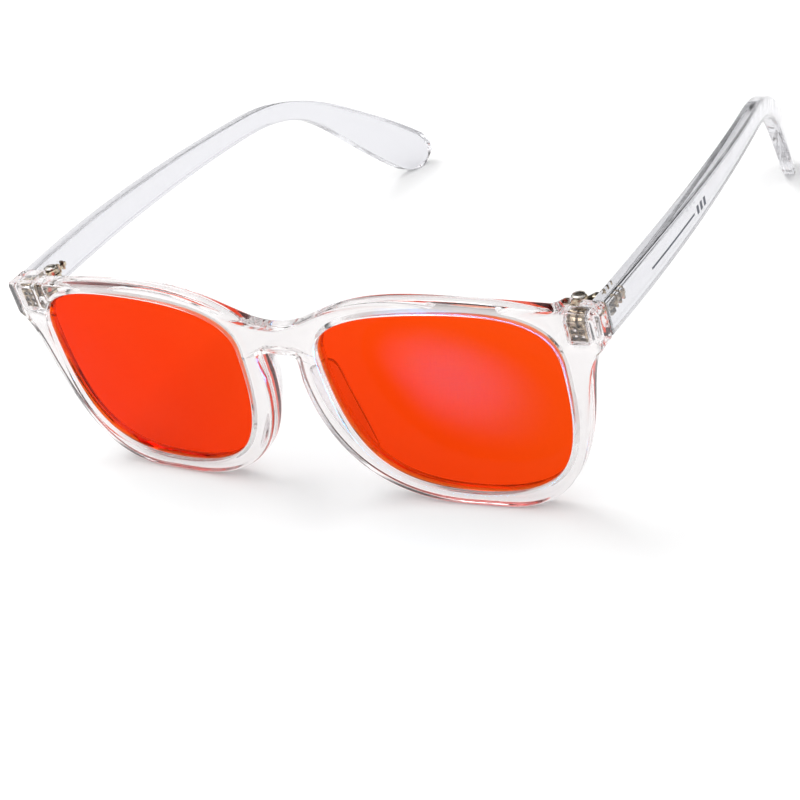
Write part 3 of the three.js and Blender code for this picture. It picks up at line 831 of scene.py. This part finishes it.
SHANK_RADIUS = 0.6
SHANK_BOTTOM = 36.7
HEAD_RADIUS = 1.3
HEAD_BOTTOM, HEAD_EDGE_TOP, HEAD_TOP = 42.85, 43.2, 43.35
HEAD_CHAMFER = 0.1
DOME_FALL = 0.28
SLOT_HALF_WIDTH = 0.2
SLOT_DEPTH = 0.35
SLOT_ABOVE = 43.15
SCREW_STEEL = "#C2BDB6"


def screw(side):
    """Rings turned round the hinge axis: up the shank, out under the head, round its edge and in
    over the top, which falls with the fourth power of the radius. There, points within the slot's
    width are let down by its depth."""
    profile = [
        (0.05, SHANK_BOTTOM), (SHANK_RADIUS, SHANK_BOTTOM + 0.05), (SHANK_RADIUS, HEAD_BOTTOM),
        (HEAD_RADIUS - HEAD_CHAMFER, HEAD_BOTTOM), (HEAD_RADIUS, HEAD_BOTTOM + HEAD_CHAMFER),
        (HEAD_RADIUS, HEAD_EDGE_TOP),
    ]
    dome = np.linspace(HEAD_RADIUS - 0.02, 0.02, 40)
    profile += [(r, HEAD_TOP - DOME_FALL * (r / HEAD_RADIUS) ** 4) for r in dome]
    radius, z = np.array(profile).T
    turn = np.radians(np.arange(0, 360, 3))
    x = radius[:, None] * np.cos(turn)
    y = radius[:, None] * np.sin(turn)
    top = np.broadcast_to(z[:, None], x.shape).copy()
    in_slot = (np.abs(y) < SLOT_HALF_WIDTH) & (top > SLOT_ABOVE)
    top[in_slot] -= SLOT_DEPTH
    part = fanned(np.stack([HINGE_AXIS[0] + x, HINGE_AXIS[1] + y, top], 2))
    return part if side == "left" else other_side(part)


def turned_steel():
    """Stainless steel turned on a lathe: bright, with tool marks a twentieth of a millimetre apart,
    drawn at twice that so that they can show."""
    material, tree = empty_material("turned_stainless_steel")
    place = add_node(tree, "ShaderNodeTexCoord").outputs["Object"]
    grain = add_node(tree, "ShaderNodeTexNoise", {"Scale": per_metre(0.1), "Detail": 2.0},
                     {"Vector": place})
    gloss = add_node(tree, "ShaderNodeMapRange", {"To Min": 0.15, "To Max": 0.35},
                     {"Value": grain.outputs["Fac"]})
    marks = add_node(tree, "ShaderNodeBump", {"Strength": 0.3, "Distance": 0.01 * METRES},
                     {"Height": grain.outputs["Fac"]})
    shader = add_node(
        tree, "ShaderNodeBsdfPrincipled",
        {"Base Color": linear(SCREW_STEEL), "Metallic": 1.0},
        {"Roughness": gloss.outputs["Result"], "Normal": marks.outputs["Normal"]},
    )
    add_node(tree, "ShaderNodeOutputMaterial", links={"Surface": shader.outputs["BSDF"]})
    return material


screw_steel = turned_steel()
for side in ("left", "right"):
    pin = make_piece(f"slotted_screw_{side}", screw(side), screw_steel)
    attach(pin, "front")
    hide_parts(f"hinge_screw_{side}")

# ---------------------------------------------------------------- studio
# A plain pale floor under a large soft sky of studio light, with one broad softbox above. Low down
# all round, the room beyond the lights is darker in broad blotches, and a black flag hangs high
# behind: these draw the edges of clear plastic. What is seen directly, or straight through plastic,
# is the white backdrop. The floor lies a hair below the rims, so that the two never coincide.

FLOOR_WHITE = "#FBFBFB"
FLOOR_RADIUS = 6
FLOOR_DROP = 0.00008
BLOTCH_SCALE, BLOTCH_LIFT = 2.2, 1.6
SKY_DARK_BELOW, SKY_BRIGHT_ABOVE = -0.8, -0.4
SKY_DARK, SKY_BRIGHT = 0.03, 1.22
FLAG_TOWARD = (-0.2, 0.82, 0.53)
FLAG_FROM, FLAG_FULL, FLAG_DARK = 0.8, 0.95, 0.02
KEY_PLACE, KEY_SIZE, KEY_WATTS = (-0.5, 0.2, 1.1), 0.6, 4.0

turn = np.radians(np.arange(0, 360, 5))


def flat_piece(name, points, material):
    """One flat face through a ring of points, part of the studio."""
    mesh = bpy.data.meshes.new(name)
    mesh.from_pydata(points.tolist(), [], [list(range(len(points)))])
    mesh.materials.append(material)
    piece = linked_object(name, mesh)
    return piece


paper, paper_tree = empty_material("white_studio_paper")
paper_shader = add_node(
    paper_tree, "ShaderNodeBsdfPrincipled",
    {"Base Color": linear(FLOOR_WHITE), "Roughness": 0.9, "Specular IOR Level": 0.1},
)
add_node(paper_tree, "ShaderNodeOutputMaterial", links={"Surface": paper_shader.outputs["BSDF"]})
floor_ring = np.stack([FLOOR_RADIUS * np.cos(turn), FLOOR_RADIUS * np.sin(turn),
                       np.full(len(turn), -FLOOR_DROP)], 1)
flat_piece("floor", floor_ring, paper)

world = bpy.data.worlds.new("studio")
bpy.context.scene.world = world
world.use_nodes = True
sky = world.node_tree
sky.nodes.clear()
toward = add_node(sky, "ShaderNodeTexCoord").outputs["Generated"]
parts = add_node(sky, "ShaderNodeSeparateXYZ", links={"Vector": toward})
blotch = add_node(sky, "ShaderNodeTexNoise", {"Scale": BLOTCH_SCALE, "Detail": 1.0},
                  {"Vector": toward})
lift = add_node(sky, "ShaderNodeMath", {1: BLOTCH_LIFT}, {0: blotch.outputs["Fac"]},
                operation="MULTIPLY")
height = add_node(sky, "ShaderNodeMath", {}, {0: parts.outputs["Z"], 1: lift.outputs[0]},
                  operation="SUBTRACT")
ramp = add_node(sky, "ShaderNodeMapRange",
                {"From Min": SKY_DARK_BELOW, "From Max": SKY_BRIGHT_ABOVE,
                 "To Min": SKY_DARK, "To Max": SKY_BRIGHT},
                {"Value": height.outputs[0]}, interpolation_type="SMOOTHSTEP")
facing = add_node(sky, "ShaderNodeVectorMath", {1: FLAG_TOWARD}, {0: toward},
                  operation="DOT_PRODUCT")
flag = add_node(sky, "ShaderNodeMapRange",
                {"From Min": FLAG_FROM, "From Max": FLAG_FULL, "To Min": 1.0, "To Max": FLAG_DARK},
                {"Value": facing.outputs["Value"]}, interpolation_type="SMOOTHSTEP")
flagged = add_node(sky, "ShaderNodeMath", {},
                   {0: ramp.outputs["Result"], 1: flag.outputs["Result"]}, operation="MULTIPLY")
path = add_node(sky, "ShaderNodeLightPath").outputs
unturned = add_node(sky, "ShaderNodeMath", {1: 0.5}, {0: path["Glossy Depth"]},
                    operation="LESS_THAN")
through = add_node(sky, "ShaderNodeMath", {},
                   {0: path["Is Transmission Ray"], 1: unturned.outputs[0]}, operation="MULTIPLY")
seen = add_node(sky, "ShaderNodeMath", {}, {0: path["Is Camera Ray"], 1: through.outputs[0]},
                operation="MAXIMUM")
glow = add_node(sky, "ShaderNodeMix", {"B": 1.0},
                {"Factor": seen.outputs[0], "A": flagged.outputs[0]})
backdrop = add_node(sky, "ShaderNodeBackground", {"Color": (1, 1, 1, 1)},
                    {"Strength": glow.outputs["Result"]})
add_node(sky, "ShaderNodeOutputWorld", links={"Surface": backdrop.outputs["Background"]})

key_lamp = bpy.data.lights.new("key_softbox", "AREA")
key_lamp.size = KEY_SIZE
key_lamp.energy = KEY_WATTS
key_box = linked_object("key_softbox", key_lamp)
key_box.location = KEY_PLACE
key_box.rotation_mode = "QUATERNION"
key_box.rotation_quaternion = (-Vector(KEY_PLACE)).to_track_quat("-Z", "Y")

# A small oval card lies low in front of the left lens, bright in the middle and fading to its edge.
# Only mirror-like surfaces see it, so it shows as a soft slanting gleam in the lens's coat. Its
# light is blue, which the coat's pink turns to rose.
GLEAM_PLACE = (0.0165, -0.1080, 0.004)
GLEAM_HALF_LENGTH = 0.046
GLEAM_HALF_WIDTH = 0.020
GLEAM_TURN = math.radians(41)
GLEAM_STRENGTH = 20.0
GLEAM_BLUE = (0.2, 0.8, 1.9, 1.0)

card_light, card_tree = empty_material("gleam_light")
card_place = add_node(card_tree, "ShaderNodeTexCoord").outputs["Object"]
on_card = add_node(
    card_tree, "ShaderNodeMapping",
    {"Location": GLEAM_PLACE, "Rotation": (0, 0, GLEAM_TURN),
     "Scale": (GLEAM_HALF_LENGTH, GLEAM_HALF_WIDTH, 1)},
    {"Vector": card_place}, vector_type="TEXTURE",
)
from_middle = add_node(card_tree, "ShaderNodeVectorMath", links={0: on_card.outputs["Vector"]},
                       operation="LENGTH")
fade = add_node(
    card_tree, "ShaderNodeMapRange",
    {"From Min": 1.0, "From Max": 0.0, "To Min": 0.0, "To Max": GLEAM_STRENGTH},
    {"Value": from_middle.outputs["Value"]}, interpolation_type="SMOOTHERSTEP",
)
card_glow = add_node(card_tree, "ShaderNodeEmission", {"Color": GLEAM_BLUE},
                     {"Strength": fade.outputs["Result"]})
add_node(card_tree, "ShaderNodeOutputMaterial", links={"Surface": card_glow.outputs["Emission"]})
along = np.array([math.cos(GLEAM_TURN), math.sin(GLEAM_TURN), 0])
across = np.array([-math.sin(GLEAM_TURN), math.cos(GLEAM_TURN), 0])
card_ring = (np.cos(turn)[:, None] * GLEAM_HALF_LENGTH * along
             + np.sin(turn)[:, None] * GLEAM_HALF_WIDTH * across + GLEAM_PLACE)
card = flat_piece("gleam_card", card_ring, card_light)
card.visible_camera = card.visible_diffuse = False
card.visible_transmission = card.visible_shadow = False

# The camera stands at the wearer's left and above, tipped so that the glasses lie along its
# diagonal.
CAMERA_LENS, CAMERA_SENSOR = 85.9, 36
CAMERA_SHIFT = (0.00707, 0.01455)
CAMERA_AZIMUTH, CAMERA_ELEVATION, CAMERA_ROLL = (math.radians(a) for a in (39.23, 31.28, -17.58))
CAMERA_AIM = np.array([0.0176, -0.0604, 0.0155])
CAMERA_DISTANCE = 0.37475

camera_data = bpy.data.cameras.new("camera")
camera_data.lens = CAMERA_LENS
camera_data.sensor_width = CAMERA_SENSOR
camera_data.shift_x, camera_data.shift_y = CAMERA_SHIFT
camera_data.clip_start, camera_data.clip_end = 0.01, 50
camera = linked_object("camera", camera_data)
back = np.array([
    math.sin(CAMERA_AZIMUTH) * math.cos(CAMERA_ELEVATION),
    -math.cos(CAMERA_AZIMUTH) * math.cos(CAMERA_ELEVATION),
    math.sin(CAMERA_ELEVATION),
])
level = np.array([math.cos(CAMERA_AZIMUTH), math.sin(CAMERA_AZIMUTH), 0])
upward = np.cross(back, level)
right = level * math.cos(CAMERA_ROLL) + upward * math.sin(CAMERA_ROLL)
up = upward * math.cos(CAMERA_ROLL) - level * math.sin(CAMERA_ROLL)
place = CAMERA_AIM + CAMERA_DISTANCE * back
turned = np.eye(4)
turned[:3] = np.stack([right, up, back, place], 1)
camera.matrix_world = Matrix(turned.tolist())
bpy.context.scene.camera = camera
bpy.context.scene.view_settings.view_transform = "Standard"

# Light is caught between the faces of clear plastic and goes on inside it for many reflections. Cut
# off after the usual four, it would leave black lines where the real edges shine.
light_paths = bpy.context.scene.cycles
light_paths.max_bounces = 32
light_paths.transmission_bounces = 32
light_paths.glossy_bounces = 24
